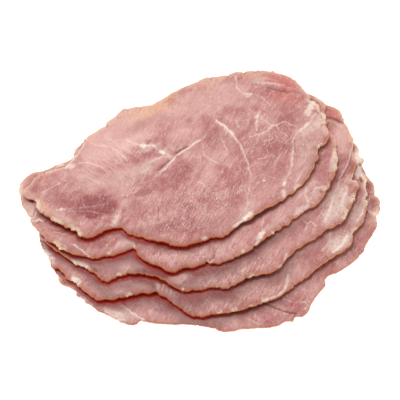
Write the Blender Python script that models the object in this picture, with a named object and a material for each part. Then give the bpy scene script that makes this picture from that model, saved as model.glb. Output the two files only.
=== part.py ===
"""Five slices of cooked ham, fanned out flat on a table with the left ends bunched together.

slice_1 is the top slice and slice_5 the bottom one. Each is one thin, wavy solid that drapes over the
slices under it. +X is to the right, +Y to the back and +Z up. The origin is the centre of the
stack's box, on the table.
"""

import math

import bmesh
import bpy
import numpy as np
from mathutils import Vector, noise
from mathutils.geometry import delaunay_2d_cdt

MM = 0.001

# Driving sizes, in millimetres.
THICKNESS = 2.0
RIM_THICKNESS = 1.6
RIM_TAPER = 4.0  # the slice thins to its rim over this distance
AIR_GAP = 0.45  # left between a slice and the one it lies on
LAYER = THICKNESS + AIR_GAP

# How a slice drapes over the edge of one below it: level up to DRAPE_LEVEL outside that edge, and all
# the way down at DRAPE_REACH.
DRAPE_LEVEL = 2.5
DRAPE_REACH = 20.0

# Front edges curl up off what they lie on, in a few long waves.
CURL_REACH = 13.0
CURL_FADE = 12.0  # what lies on a curled edge comes down again over this distance past it
CURL_WAVES = 7  # waves round a whole turn of bearing
CURL_FRONT = math.radians(-80)  # bearing at the middle of the curled stretch
CURL_HALF_TURN = math.radians(115)

# Broad waves of a slice's middle.
WAVE_LENGTH = 74.0
WAVE_BEARING = math.radians(-28)

# The cut edge is torn in and out by noise: (how far, over what length).
CRAGS = ((0.9, 11.0), (0.6, 4.5))

# Two muscles part along this seam of the top slice, from its front edge inwards, and sink it a little.
SEAM = ((-45, -24), (-41, -4), (-31, 4), (-20, 14), (-6, 30), (1, 34))
SEAM_DEPTH = 0.6
SEAM_REACH = 5.5

# Mesh spacings: along the rim, and of the shared triangular lattice inside it.
RIM_STEP = 3.5
LATTICE_STEP = 6.5
LATTICE_MARGIN = 3.6  # lattice points keep this far inside the rim

# The back edge of the ham, from its left end to its right, as the top slice shows it.
BACK_EDGE = ((-57, 42), (-43, 56), (-28, 60), (-8, 72), (6, 79), (25, 83), (40, 82), (52, 77))

# Each slice: the rest of its outline, clockwise from the right end of the back edge; how far the two
# ends of its back edge lie from BACK_EDGE; how high its front edge curls and its middle waves, with
# the phase of both.
SLICES = {
    "slice_1": {
        "edge": (
            (61, 64), (68, 54), (72, 42), (71, 33), (65, 26), (64, 19), (58, 8), (48, -3), (33, -13),
            (19, -23), (10, -29), (2, -30), (-12, -35), (-22, -31), (-39, -26), (-44, -23), (-52, -24),
            (-61, -29), (-72, -23), (-85, -15), (-96, 3), (-90, 13), (-71, 21), (-65, 34),
        ),
        "back_shift": ((0, 0), (0, 0)),
        "curl": 1.7,
        "wave": 0.5,
        "phase": 0.4,
    },
    "slice_2": {
        "edge": (
            (62, 67), (70, 60), (72, 45), (75, 34), (76, 20), (66, -4), (56, -12), (38, -26), (24, -37),
            (10, -43), (3, -43), (-14, -49), (-33, -39), (-36, -35), (-45, -37), (-58, -40), (-75, -35),
            (-87, -25), (-95, -10), (-100, 9), (-92, 18), (-71, 24), (-65, 36),
        ),
        "back_shift": ((1, -5), (3, -7)),
        "curl": 1.5,
        "wave": 0.3,
        "phase": 1.3,
    },
    "slice_3": {
        "edge": (
            (70, 62), (77, 59), (84, 38), (87, 26), (85, 12), (87, 7), (85, -1), (78, -16), (68, -22),
            (53, -33), (41, -46), (27, -51), (15, -57), (3, -57), (-4, -61), (-24, -50), (-41, -49),
            (-51, -53), (-57, -48), (-75, -36), (-87, -25), (-89, -14), (-78, 10),
        ),
        "back_shift": ((-3, -14), (8, -10)),
        "curl": 1.5,
        "wave": 0.3,
        "phase": 2.9,
    },
    "slice_4": {
        "edge": (
            (84, 39), (89, 25), (92, 4), (90, -12), (85, -20), (83, -28), (70, -39), (54, -51), (46, -58),
            (25, -69), (8, -72), (-1, -73), (-8, -70), (-24, -59), (-39, -61), (-54, -63), (-66, -54),
            (-81, -42), (-86, -23), (-85, -8),
        ),
        "back_shift": ((-6, -20), (24, -31)),
        "curl": 1.3,
        "wave": 0.6,
        "phase": 4.4,
    },
    "slice_5": {
        "edge": (
            (88, 27), (96, 10), (99, 1), (98, -13), (91, -26), (83, -39), (68, -48), (68, -52), (61, -63),
            (59, -69), (46, -75), (39, -78), (13, -80), (2, -77), (-31, -74), (-38, -77), (-49, -71),
            (-66, -61), (-68, -55), (-79, -43), (-88, -20), (-86, -8),
        ),
        "back_shift": ((-7, -27), (26, -37)),
        "curl": 0.5,
        "wave": 0.0,
        "phase": 5.2,
    },
}

MEAT_COLOUR = (0.57, 0.28, 0.25, 1.0)
MEAT_ROUGHNESS = 0.45


def smooth_step(low, high, value):
    """0 below low, 1 above high, and a smooth rise between them."""
    share = np.clip((value - low) / (high - low), 0.0, 1.0)
    return share * share * (3.0 - 2.0 * share)


def closed_spline(points, step):
    """A smooth closed curve through points (centripetal Catmull-Rom), with a point about every step."""
    points = np.array(points, float)
    spaced = []
    for index in range(len(points)):
        a, b, c, d = (points[(index + k) % len(points)] for k in (-1, 0, 1, 2))
        t1 = math.sqrt(np.linalg.norm(b - a))
        t2 = t1 + math.sqrt(np.linalg.norm(c - b))
        t3 = t2 + math.sqrt(np.linalg.norm(d - c))
        for t in np.linspace(t1, t2, 12, endpoint=False):
            ab = a + (b - a) * t / t1
            bc = b + (c - b) * (t - t1) / (t2 - t1)
            cd = c + (d - c) * (t - t2) / (t3 - t2)
            abc = ab + (bc - ab) * t / t2
            bcd = bc + (cd - bc) * (t - t1) / (t3 - t1)
            spaced.append(abc + (bcd - abc) * (t - t1) / (t2 - t1))
    return even_spacing(np.array(spaced), step)


def even_spacing(loop, step):
    """The closed polyline resampled at equal distances of about step."""
    closed = np.vstack([loop, loop[:1]])
    travelled = np.concatenate([[0.0], np.cumsum(np.linalg.norm(np.diff(closed, axis=0), axis=1))])
    count = round(travelled[-1] / step)
    at = np.linspace(0.0, travelled[-1], count, endpoint=False)
    return np.column_stack([np.interp(at, travelled, closed[:, axis]) for axis in (0, 1)])


def craggy(loop, seed):
    """The outline with its cut edge torn a little in and out."""
    ahead, behind = np.roll(loop, -1, axis=0), np.roll(loop, 1, axis=0)
    along = (ahead - behind) / np.linalg.norm(ahead - behind, axis=1)[:, None]
    outward = np.column_stack([-along[:, 1], along[:, 0]])  # the loop runs clockwise
    for size, length in CRAGS:
        push = [noise.noise(Vector((x / length, y / length, seed))) for x, y in loop]
        loop = loop + outward * size * np.array(push)[:, None]
    return loop


def slice_outline(shape):
    """The slice's whole outline, clockwise, with a point every RIM_STEP."""
    back = np.array(BACK_EDGE, float)
    share = (back[:, :1] - back[0, 0]) / (back[-1, 0] - back[0, 0])
    left, right = np.array(shape["back_shift"], float)
    back = back + left + (right - left) * share
    whole = np.vstack([np.array(shape["edge"], float), back])
    return craggy(closed_spline(whole, RIM_STEP), shape["phase"])


def distance_to_lines(points, starts, ends):
    """Each point's distance from the nearest of some straight lines."""
    run = ends - starts
    offset = points[:, None] - starts[None]
    share = np.clip((offset * run).sum(2) / (run * run).sum(1), 0.0, 1.0)
    return np.linalg.norm(offset - share[..., None] * run, axis=2).min(1)


def depth_inside(points, outline):
    """How far each point lies inside the outline, negative outside it."""
    ends = np.roll(outline, -1, axis=0)
    run = ends - outline
    nearest = distance_to_lines(points, outline, ends)
    x, y = points[:, :1], points[:, 1:]
    spans = (outline[:, 1] > y) != (ends[:, 1] > y)
    rise = np.where(run[:, 1] == 0, 1.0, run[:, 1])
    crossing = outline[:, 0] + (y - outline[:, 1]) * run[:, 0] / rise
    inside = (spans & (x < crossing)).sum(1) % 2 == 1
    return np.where(inside, nearest, -nearest)


def curl_height(points, shape, outline):
    """How far the slice's front edge stands up off what it lies on."""
    bearing = np.arctan2(*(points - outline.mean(0)).T[::-1])
    turn = np.abs((bearing - CURL_FRONT + math.pi) % (2 * math.pi) - math.pi)
    front = 1.0 - smooth_step(0.6 * CURL_HALF_TURN, CURL_HALF_TURN, turn)
    swell = 0.5 + 0.5 * np.sin(CURL_WAVES * bearing + shape["phase"])
    depth = depth_inside(points, outline)
    near_edge = 1.0 - smooth_step(0.0, CURL_REACH, depth)
    beyond = 1.0 - smooth_step(DRAPE_LEVEL, CURL_FADE, -depth)
    return shape["curl"] * front * swell * near_edge * beyond


def wave_height(points, shape):
    """The broad waves of the slice's middle, never below what it lies on."""
    along = points @ np.array([math.cos(WAVE_BEARING), math.sin(WAVE_BEARING)])
    return 0.5 * shape["wave"] * (1.0 + np.sin(2 * math.pi * along / WAVE_LENGTH + shape["phase"]))


def underside(points, name, outlines):
    """The height of the slice's underside: one layer up for each slice below, eased down past its edge."""
    names = list(outlines)
    below = names[names.index(name) + 1 :]
    height = np.zeros(len(points))
    for lower in below:
        depth = depth_inside(points, outlines[lower])
        height += LAYER * smooth_step(-DRAPE_REACH, -DRAPE_LEVEL, depth)
    for part in [name, *below]:
        height += curl_height(points, SLICES[part], outlines[part])
        height += wave_height(points, SLICES[part])
    return height


def slice_thickness(points, name, outline):
    """Thinner at the rim, and along the top slice's seam."""
    taper = smooth_step(0.0, RIM_TAPER, depth_inside(points, outline))
    thick = RIM_THICKNESS + (THICKNESS - RIM_THICKNESS) * taper
    if name == "slice_1":
        seam = np.array(SEAM, float)
        away = distance_to_lines(points, seam[:-1], seam[1:])
        thick -= SEAM_DEPTH * (1.0 - smooth_step(0.0, SEAM_REACH, away))
    return thick


def lattice_inside(outline):
    """The points inside the outline of one triangular lattice that all the slices share."""
    row_step = LATTICE_STEP * math.sqrt(3) / 2
    reach = np.abs(outline).max() + LATTICE_STEP
    rows = np.arange(-round(reach / row_step), round(reach / row_step) + 1)
    columns = np.arange(-round(reach / LATTICE_STEP), round(reach / LATTICE_STEP) + 1)
    grid = [((column + 0.5 * (row % 2)) * LATTICE_STEP, row * row_step) for row in rows for column in columns]
    grid = np.array(grid)
    return grid[depth_inside(grid, outline) > LATTICE_MARGIN]


def meat_material(name):
    material = bpy.data.materials.new(name)
    material.use_nodes = True
    shader = material.node_tree.nodes["Principled BSDF"]
    shader.inputs["Base Color"].default_value = MEAT_COLOUR
    shader.inputs["Roughness"].default_value = MEAT_ROUGHNESS
    shader.inputs["Metallic"].default_value = 0.0
    return material


def build_slice(name, outlines, centre):
    """One slice: the same net of triangles above and below, with a wall round the rim."""
    outline = outlines[name]
    flat = np.vstack([outline, lattice_inside(outline)])
    rim_loop = list(reversed(range(len(outline))))  # anticlockwise
    net = delaunay_2d_cdt([Vector(p) for p in flat], [], [rim_loop], 1, 1e-6, True)
    points = np.array([tuple(p) for p in net[0]])
    low = underside(points, name, outlines)
    thick = slice_thickness(points, name, outline)
    points = points - centre

    mesh = bmesh.new()
    bottom = [mesh.verts.new((x * MM, y * MM, z * MM)) for (x, y), z in zip(points, low)]
    top = [mesh.verts.new((x * MM, y * MM, z * MM)) for (x, y), z in zip(points, low + thick)]
    for triangle, owner in zip(net[2], net[5]):
        if not owner:
            continue  # between the outline and its convex hull
        mesh.faces.new([top[index] for index in triangle])
        mesh.faces.new([bottom[index] for index in reversed(triangle)])
    place = {start: index for index, starts in enumerate(net[3]) for start in starts}
    rim = [place[start] for start in rim_loop]
    for here, after in zip(rim, rim[1:] + rim[:1]):
        mesh.faces.new([top[here], top[after], bottom[after], bottom[here]])
    bmesh.ops.recalc_face_normals(mesh, faces=mesh.faces[:])

    data = bpy.data.meshes.new(name)
    mesh.to_mesh(data)
    mesh.free()
    data.materials.append(meat_material(name))
    data.shade_smooth()
    data.set_sharp_from_angle(angle=math.radians(50))
    bpy.context.scene.collection.objects.link(bpy.data.objects.new(name, data))


def main():
    for old in list(bpy.data.objects):
        bpy.data.objects.remove(old)
    outlines = {name: slice_outline(shape) for name, shape in SLICES.items()}
    every_point = np.vstack(list(outlines.values()))
    centre = (every_point.min(0) + every_point.max(0)) / 2
    for name in SLICES:
        build_slice(name, outlines, centre)


main()
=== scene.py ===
import math

import bpy
import numpy as np
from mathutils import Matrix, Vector
from mathutils.bvhtree import BVHTree
from mathutils.geometry import delaunay_2d_cdt
from mathutils.kdtree import KDTree


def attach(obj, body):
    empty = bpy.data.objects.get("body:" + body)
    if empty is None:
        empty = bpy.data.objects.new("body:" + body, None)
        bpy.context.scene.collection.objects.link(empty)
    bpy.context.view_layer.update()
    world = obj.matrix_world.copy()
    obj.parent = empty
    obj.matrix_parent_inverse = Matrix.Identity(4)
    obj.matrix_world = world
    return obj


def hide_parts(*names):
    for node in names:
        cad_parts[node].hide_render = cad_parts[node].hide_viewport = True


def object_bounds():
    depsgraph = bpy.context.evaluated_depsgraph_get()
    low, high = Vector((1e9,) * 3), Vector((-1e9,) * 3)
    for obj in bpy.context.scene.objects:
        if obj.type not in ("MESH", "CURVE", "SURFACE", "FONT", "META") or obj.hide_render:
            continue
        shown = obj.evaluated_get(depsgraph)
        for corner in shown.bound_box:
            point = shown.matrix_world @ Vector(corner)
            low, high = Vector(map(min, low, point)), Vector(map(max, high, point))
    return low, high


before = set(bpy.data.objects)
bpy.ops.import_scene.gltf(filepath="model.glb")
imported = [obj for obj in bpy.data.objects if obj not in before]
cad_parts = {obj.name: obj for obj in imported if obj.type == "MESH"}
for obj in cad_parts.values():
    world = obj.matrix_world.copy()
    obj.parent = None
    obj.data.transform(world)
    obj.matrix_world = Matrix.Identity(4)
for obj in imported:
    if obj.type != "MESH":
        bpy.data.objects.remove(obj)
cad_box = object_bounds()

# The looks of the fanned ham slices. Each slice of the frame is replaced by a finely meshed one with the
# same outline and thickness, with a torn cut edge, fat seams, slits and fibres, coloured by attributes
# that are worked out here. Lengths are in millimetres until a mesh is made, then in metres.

MM = 0.001
SLICES = ("slice_1", "slice_2", "slice_3", "slice_4", "slice_5")  # from the top one down
EDGE_SEEDS = range(3, 58, 11)  # one a slice
GRAIN_SEEDS = range(40, 105, 13)

# The camera looks down at the stack from the front, as the photograph does.
IMAGE_SIZE = 400  # pixels, both ways
PIXEL = 0.55  # one of them at the look-at point
CAMERA_ELEVATION = math.radians(60)
CAMERA_DISTANCE = 2000.0
SENSOR_WIDTH = 36.0
LOOK_AT = np.array([-0.1, -1.4, 4.0])
FIRST_HEIGHT, HEIGHT_ROUNDS = 8.0, 6  # of the search for the spot under a pixel

# Lights, in metres and watts: (place, size, energy).
LIGHTS = {
    "key": ((-0.35, 0.3, 1.2), 0.5, 7.7),
    "right fill": ((0.9, 0.1, 0.6), 0.5, 2.4),
    "left fill": ((-0.9, -0.5, 0.6), 0.6, 2.0),
}
WORLD_LIGHT = 0.5
FLOOR_HALF, FLOOR_DROP = 3000.0, 0.1

# Meshing.
RIM_STEP = 0.5  # along the cut edge
FINE_STEP = 0.5  # where the slice shows
COARSE_STEP = 2.2  # where another slice hides it, and underneath
COVER_MARGIN = 5.0  # the fine mesh runs on this far under the slice above
GRID_STEP = 1.0  # of the grids that heights and distances are read from
GRID_MARGIN = 12.0
HEIGHT_BLUR = 2.6
LEAN_BLUR = 2.0
MIN_GAP = 0.12  # kept between two slices
# The cut edge's rounded section: (how far in from the edge, share of the thickness from the top).
RIM_SECTION = ((0.42, 0.0), (0.12, 0.16), (0.0, 0.45), (0.1, 0.8), (0.38, 1.0))

# The cut edge. Its tears and crags are (how far, over what length).
NICKS = 30  # small splits in a slice's cut edge
NICK_DEPTH, NICK_WIDTH, NICK_LENGTH = 0.5, 0.7, 1.7
CRAGS = ((0.5, 5.0), (0.34, 2.2), (0.18, 1.1))
CRUMBLY_CRAGS = ((0.7, 2.6), (0.5, 1.2))  # added where fat crumbles
SCALLOPS = (0.55, 3.6)  # added towards the back right
BACK_SMOOTHNESS = 0.65  # of the edge that faces the back
ROUGHNESS = {"slice_5": 0.6}  # of a slice's tears, 1 on the others
RIND_STRENGTH = {"slice_5": 0.4}  # 1 on the others
# The lowest slice's edge also carries less of the painted dark red shade at its foot.
LOWEST_FALL, LOWEST_FRONT = 0.5, 0.52  # the lowest slice's edge is less brown
# How far the painted shade in front of the slice above reaches.
SHADE_REACH = {"slice_1": 1.0, "slice_2": 5.0, "slice_3": 14.0, "slice_4": 16.0, "slice_5": 9.0}
# How looks change along the stack: (value, then each change: how much, x where it starts, x where it ends).
ALONG_STACK = {
    # redness, lit, shade reach and dark band set the painted shade and the painted dark red shadow in front
    # of the slice above; redness also browns the rind.
    "redness": (1.0, (-0.75, 0.0, 28.0), (-0.25, -45.0, -70.0)),
    "lit": (1.0, (-0.6, 30.0, 70.0), (-0.75, -78.0, -92.0)),
    "shade reach": (0.3, (0.7, -72.0, -35.0), (-0.45, 0.0, 30.0)),
    "dark band": (3.0, (-1.6, -40.0, -8.0)),
    "front": (1.0, (-0.6, -70.0, -88.0)),
    "rind": (1.0, (-0.5, -80.0, -92.0)),
}

# ---- what the photograph shows, in its pixels, on the named slice's upper face

# Seams and threads of fat: (half width in mm, how pale, relief in mm, points).
SEAMS = {
    "slice_1": {
        "main seam, open": (0.5, 1.0, 0.12, ((200, 140), (194, 143.5), (188, 148.3), (182, 152.3),
            (176, 156.3), (171.5, 161.3), (167, 166.8), (162, 170.8))),
        "main seam, closed": (0.35, 0.5, -0.1, ((162, 171), (154, 178.5), (149, 182.5))),
        "main seam, closing": (0.3, 0.4, -0.15, ((145, 185), (139, 189.5), (133, 193.5))),
        "main seam, end": (0.45, 0.3, -0.1, ((127, 199), (122, 206), (118, 215), (114, 223))),
        "back fold": (0.4, 0.7, 0.35, ((88, 137), (84.5, 143.5), (78, 154), (70, 163.5), (66, 167),
            (53.6, 170.5), (46, 173))),
        "upper seam": (0.6, 0.6, 0.0, ((126, 139), (134, 144), (144, 145), (153, 145), (158, 148.5),
            (163, 153), (171, 156.5))),
        "leaf": (0.45, 0.55, 0.1, ((150, 162.5), (156, 159), (163.5, 156.5), (171, 157.5))),
        "streak by the leaf": (0.35, 0.6, 0.1, ((143, 172), (148.5, 168.5))),
        "long seam, broad": (0.9, 0.95, 0.1, ((216.5, 121.3), (224, 126), (230.5, 131.5), (234, 136))),
        "long seam": (0.4, 0.75, 0.0, ((233, 135), (237, 140.5), (241, 146), (244.5, 154), (247.5, 162),
            (249, 168), (250.5, 175))),
        "long seam, faint": (0.4, 0.4, 0.0, ((250.5, 175), (250, 185), (248, 194), (247, 205), (245.5, 211))),
        "right seam, broad": (0.55, 0.7, 0.1, ((316, 113), (311.5, 120), (305, 126), (297.5, 132.5))),
        "right seam, upper": (0.32, 0.7, 0.1, ((297.5, 132.5), (293.8, 139), (293.3, 151))),
        "right seam, middle": (0.5, 0.8, 0.1, ((293.3, 151), (292.3, 157), (292.3, 164))),
        "right seam, lower": (0.3, 0.8, 0.1, ((292.3, 164), (291, 169), (287.5, 176), (284, 182.5))),
        "right seam, blot": (0.7, 1.0, 0.2, ((286, 181.5), (283.5, 185))),
        "right seam, end": (0.7, 0.45, 0.1, ((283, 190), (285, 197), (290, 198))),
        "inside the right edge": (0.35, 0.6, 0.1, ((303.5, 169), (298, 179.5), (294.5, 185))),
        "bulge above the red crease": (1.3, 0.0, 0.9, ((266, 82), (274, 83), (282, 84.5), (290, 86))),
        # The glints are painted highlights, drawn as pale lines.
        "glint above the red crease": (0.8, 0.45, 0.1, ((258, 83), (266, 83.5), (276, 84.5), (284, 86))),
        "glint at the top": (0.7, 0.3, 0.0, ((262, 78.5), (270, 79.5), (278, 81.5))),
        "notch thread": (0.4, 0.75, 0.0, ((234.5, 76), (236.6, 81), (236, 87), (243, 93), (251, 94))),
        "web, left stem": (0.45, 0.8, 0.0, ((259.8, 111.5), (257, 116.5), (256.3, 124), (257, 130.5))),
        "web, upper left": (0.3, 0.5, 0.0, ((250, 109), (256, 113.8), (262, 117), (266, 122.5),
            (272.3, 125.6))),
        "web, middle": (0.35, 0.75, 0.0, ((250, 137), (258.9, 134), (262.5, 132.3), (268, 130.5),
            (272.3, 125.6), (276, 126), (278.6, 124.3), (284, 121.5))),
        "web, right": (0.3, 0.6, 0.0, ((285.5, 121.5), (290, 124.3), (295.5, 126.5))),
        "web, spur": (0.3, 0.55, 0.0, ((276, 126), (279, 130.5))),
        "web, lower left": (0.35, 0.5, 0.0, ((258.9, 134), (258, 140.4), (253.6, 146))),
        "web, hook": (0.35, 0.6, 0.0, ((264.3, 141.3), (271.4, 139.5), (272.3, 136.8))),
        "web, tick": (0.35, 0.6, 0.0, ((284.4, 134), (286.8, 136))),
        "upper thread": (0.35, 0.6, 0.0, ((260.7, 96.5), (265.6, 100.2), (270.8, 106))),
        "upper right thread": (0.3, 0.4, 0.0, ((293.8, 103.8), (301, 107.5))),
        "left of the web": (0.3, 0.45, 0.0, ((236.5, 120.5), (237.5, 127))),
        "arch under the web": (0.3, 0.5, 0.0, ((258, 159), (266, 157.3), (271.4, 154.5), (275, 157))),
        "stem under the web": (0.35, 0.4, 0.0, ((282, 152), (276.8, 161), (274, 169))),
        "inner thread": (0.3, 0.45, 0.0, ((221.4, 138.6), (226, 149.3), (228.6, 153))),
        "inner hook": (0.35, 0.6, 0.05, ((204, 150.5), (204.9, 155.6), (211.8, 159.8), (219.5, 164))),
        "inner stroke": (0.3, 0.55, 0.05, ((200.3, 156), (200.7, 161.5))),
        "from the red speck": (0.3, 0.4, 0.0, ((189.5, 166), (199.3, 172))),
        "tick": (0.35, 0.6, 0.0, ((198, 182), (201.8, 182.7), (205, 186))),
        "tick by the long seam": (0.35, 0.45, 0.0, ((209, 115.5), (213.5, 115.5))),
        "dot": (0.5, 0.9, 0.1, ((264.2, 180.3), (264.4, 180.6))),
        "left arc": (0.35, 0.6, 0.0, ((78, 163.7), (84, 162.3), (91, 163.4), (98.5, 166.5))),
        "long arc": (0.35, 0.6, 0.0, ((91, 142.7), (96, 145), (104, 145.8), (111, 147.6), (117, 150.7),
            (122.5, 155.5), (127, 160.5))),
        "loop": (0.3, 0.45, 0.0, ((109, 133), (105.3, 135), (105, 138.5), (113.6, 141), (126, 139))),
        "streak a": (0.28, 0.45, 0.0, ((112.7, 150.7), (119, 156.5), (122, 162))),
        "streak b": (0.28, 0.4, 0.0, ((108.2, 151.6), (113, 157), (117, 164))),
        "streak c": (0.28, 0.4, 0.0, ((122.5, 147), (130, 152))),
        "left thread": (0.35, 0.5, 0.0, ((68, 170.7), (64.3, 176), (59, 183), (53.6, 186.7), (41.5, 193))),
        "left spot": (0.5, 0.8, 0.0, ((58.7, 183), (59.1, 183.6))),
        "fan, stem": (0.3, 0.6, 0.0, ((56, 209.7), (62, 209.3), (68, 208.9))),
        "fan, stem, faint": (0.3, 0.35, 0.0, ((68, 208.9), (78, 208.5), (94, 206), (108, 203.5))),
        "fan, blot": (0.7, 0.9, 0.1, ((60.5, 209.5), (62.5, 209.2))),
        "fan, lower": (0.28, 0.3, 0.0, ((66, 211), (86, 211), (104, 214), (112, 217))),
        "fan, upper": (0.28, 0.3, 0.0, ((84, 207), (83, 203), (82, 197))),
        "fan, right": (0.28, 0.35, 0.0, ((97, 205), (100, 200), (100.5, 194))),
    },
    "slice_2": {
        "left thread": (0.4, 0.8, 0.05, ((73.7, 244.2), (79.5, 248.7), (83.5, 251.8), (89.3, 256.5))),
        "left curl": (0.7, 0.8, 0.5, ((36, 221.5), (39, 219.8), (42, 221))),
        "left fold": (0.4, 0.5, 0.2, ((54, 231.5), (59, 233), (62.5, 235), (66, 233.5))),
        "crease edge": (0.4, 0.7, 0.2, ((39, 206), (36.5, 211), (34.5, 217))),
        "pale stroke": (0.35, 0.5, 0.0, ((119.6, 242), (116, 247.5))),
        "bump edge": (0.6, 0.6, 0.1, ((133.5, 243), (134.5, 248.5))),
        "front stroke": (0.45, 0.6, 0.0, ((205, 246), (201, 253), (197.5, 260))),
        "front lip": (0.45, 0.8, 0.2, ((207.5, 263.5), (211, 262), (213.5, 259.5))),
        "stem to the wedge": (0.35, 0.45, 0.0, ((264, 215), (263.5, 222), (262, 229))),
        "right streak": (0.5, 0.6, 0.1, ((323, 186.5), (316, 188), (313.5, 192))),
        "right stroke": (0.5, 0.6, 0.0, ((306.5, 188), (305.5, 195), (308, 202))),
        "fibre a": (0.3, 0.4, 0.0, ((226, 247), (222.5, 254))),
        "fibre b": (0.3, 0.4, 0.0, ((233, 240), (229.5, 248))),
    },
    "slice_3": {
        "flap edge": (0.45, 0.9, 0.25, ((355, 137), (353.3, 142.5), (350.5, 155), (347, 165.5),
            (342, 174.5), (339, 178.5))),
        "bulge above the lobe crease": (1.0, 0.0, 0.7, ((326, 113.5), (333, 114.5), (340, 117.5))),
        # The glint is a painted highlight, drawn as a pale line.
        "glint under the lobe crease": (0.8, 0.4, 0.2, ((326, 120.5), (333, 122), (340, 125))),
        "lobe thread": (0.3, 0.6, 0.0, ((336.5, 124.5), (343.5, 128))),
        "web, arms": (0.35, 0.6, 0.0, ((303.5, 220.5), (307.6, 223.7), (311, 221.5), (316.7, 225.7))),
        "web, stem": (0.35, 0.5, 0.0, ((307.6, 223.7), (305, 231))),
        "mottle a": (0.8, 0.6, 0.1, ((334, 193), (330.5, 208), (325.5, 221))),
        "mottle b": (0.7, 0.55, 0.1, ((348, 187), (344, 197), (341.5, 206))),
        "mottle c": (0.6, 0.5, 0.1, ((339, 183), (337, 189), (334, 193))),
        "front thread": (0.35, 0.5, 0.0, ((222, 266), (215, 275), (206, 286.5))),
        "front stroke": (0.45, 0.7, 0.0, ((246, 267.5), (242.5, 271.8))),
        "front fibre": (0.3, 0.4, 0.0, ((259.5, 266), (255, 272))),
        "left stroke": (0.4, 0.55, 0.0, ((129.5, 266), (124, 272.5))),
        "pale rim": (0.5, 0.7, 0.0, ((287, 254), (284, 262), (278, 267.5))),
    },
    "slice_4": {
        "fat seam": (0.6, 0.8, 0.05, ((288.3, 275), (286.5, 284), (284.5, 290), (277.5, 295.5),
            (265, 300.5))),
        "fat seam, faint": (0.35, 0.4, 0.0, ((290.5, 262), (289, 270), (288, 277))),
        "left thread": (0.4, 0.55, 0.0, ((98, 282), (104, 289), (110.7, 297.3))),
        "front stroke": (0.4, 0.55, 0.0, ((211.5, 293.5), (207, 300), (202, 307))),
        "rim stroke": (0.5, 0.6, 0.0, ((178.6, 295.5), (173, 303))),
        "mottle a": (0.6, 0.6, 0.1, ((365, 205), (362, 213), (357, 221))),
        "mottle b": (0.8, 0.7, 0.1, ((347, 236), (342, 246), (333, 252))),
        "mottle c": (0.6, 0.6, 0.1, ((331, 232), (329, 242), (323, 250))),
        "fibre a": (0.3, 0.4, 0.0, ((244, 287), (240, 294))),
    },
    "slice_5": {
        "beaded streak": (0.55, 0.85, 0.15, ((118, 301.8), (124, 306), (130.5, 311.6), (137, 316),
            (144, 319.6))),
        "web, stem": (0.35, 0.65, 0.0, ((156.3, 303), (156.3, 306.5), (149, 312))),
        "web, arm": (0.35, 0.5, 0.0, ((156.3, 306.5), (159, 309))),
        "tear lip": (0.4, 0.5, 0.2, ((266, 305), (274, 308.5), (282, 312), (288, 314))),
        "ripple": (0.35, 0.5, 0.0, ((284, 299), (291, 301.5))),
        "front streak": (0.4, 0.5, 0.0, ((249.5, 319.5), (260.5, 324))),
        "front streak, left": (0.4, 0.4, 0.0, ((222, 322), (231, 325))),
        "yellow line": (0.6, 0.7, 0.1, ((367, 209), (370, 212), (377.5, 214.5))),
    },
}
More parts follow.
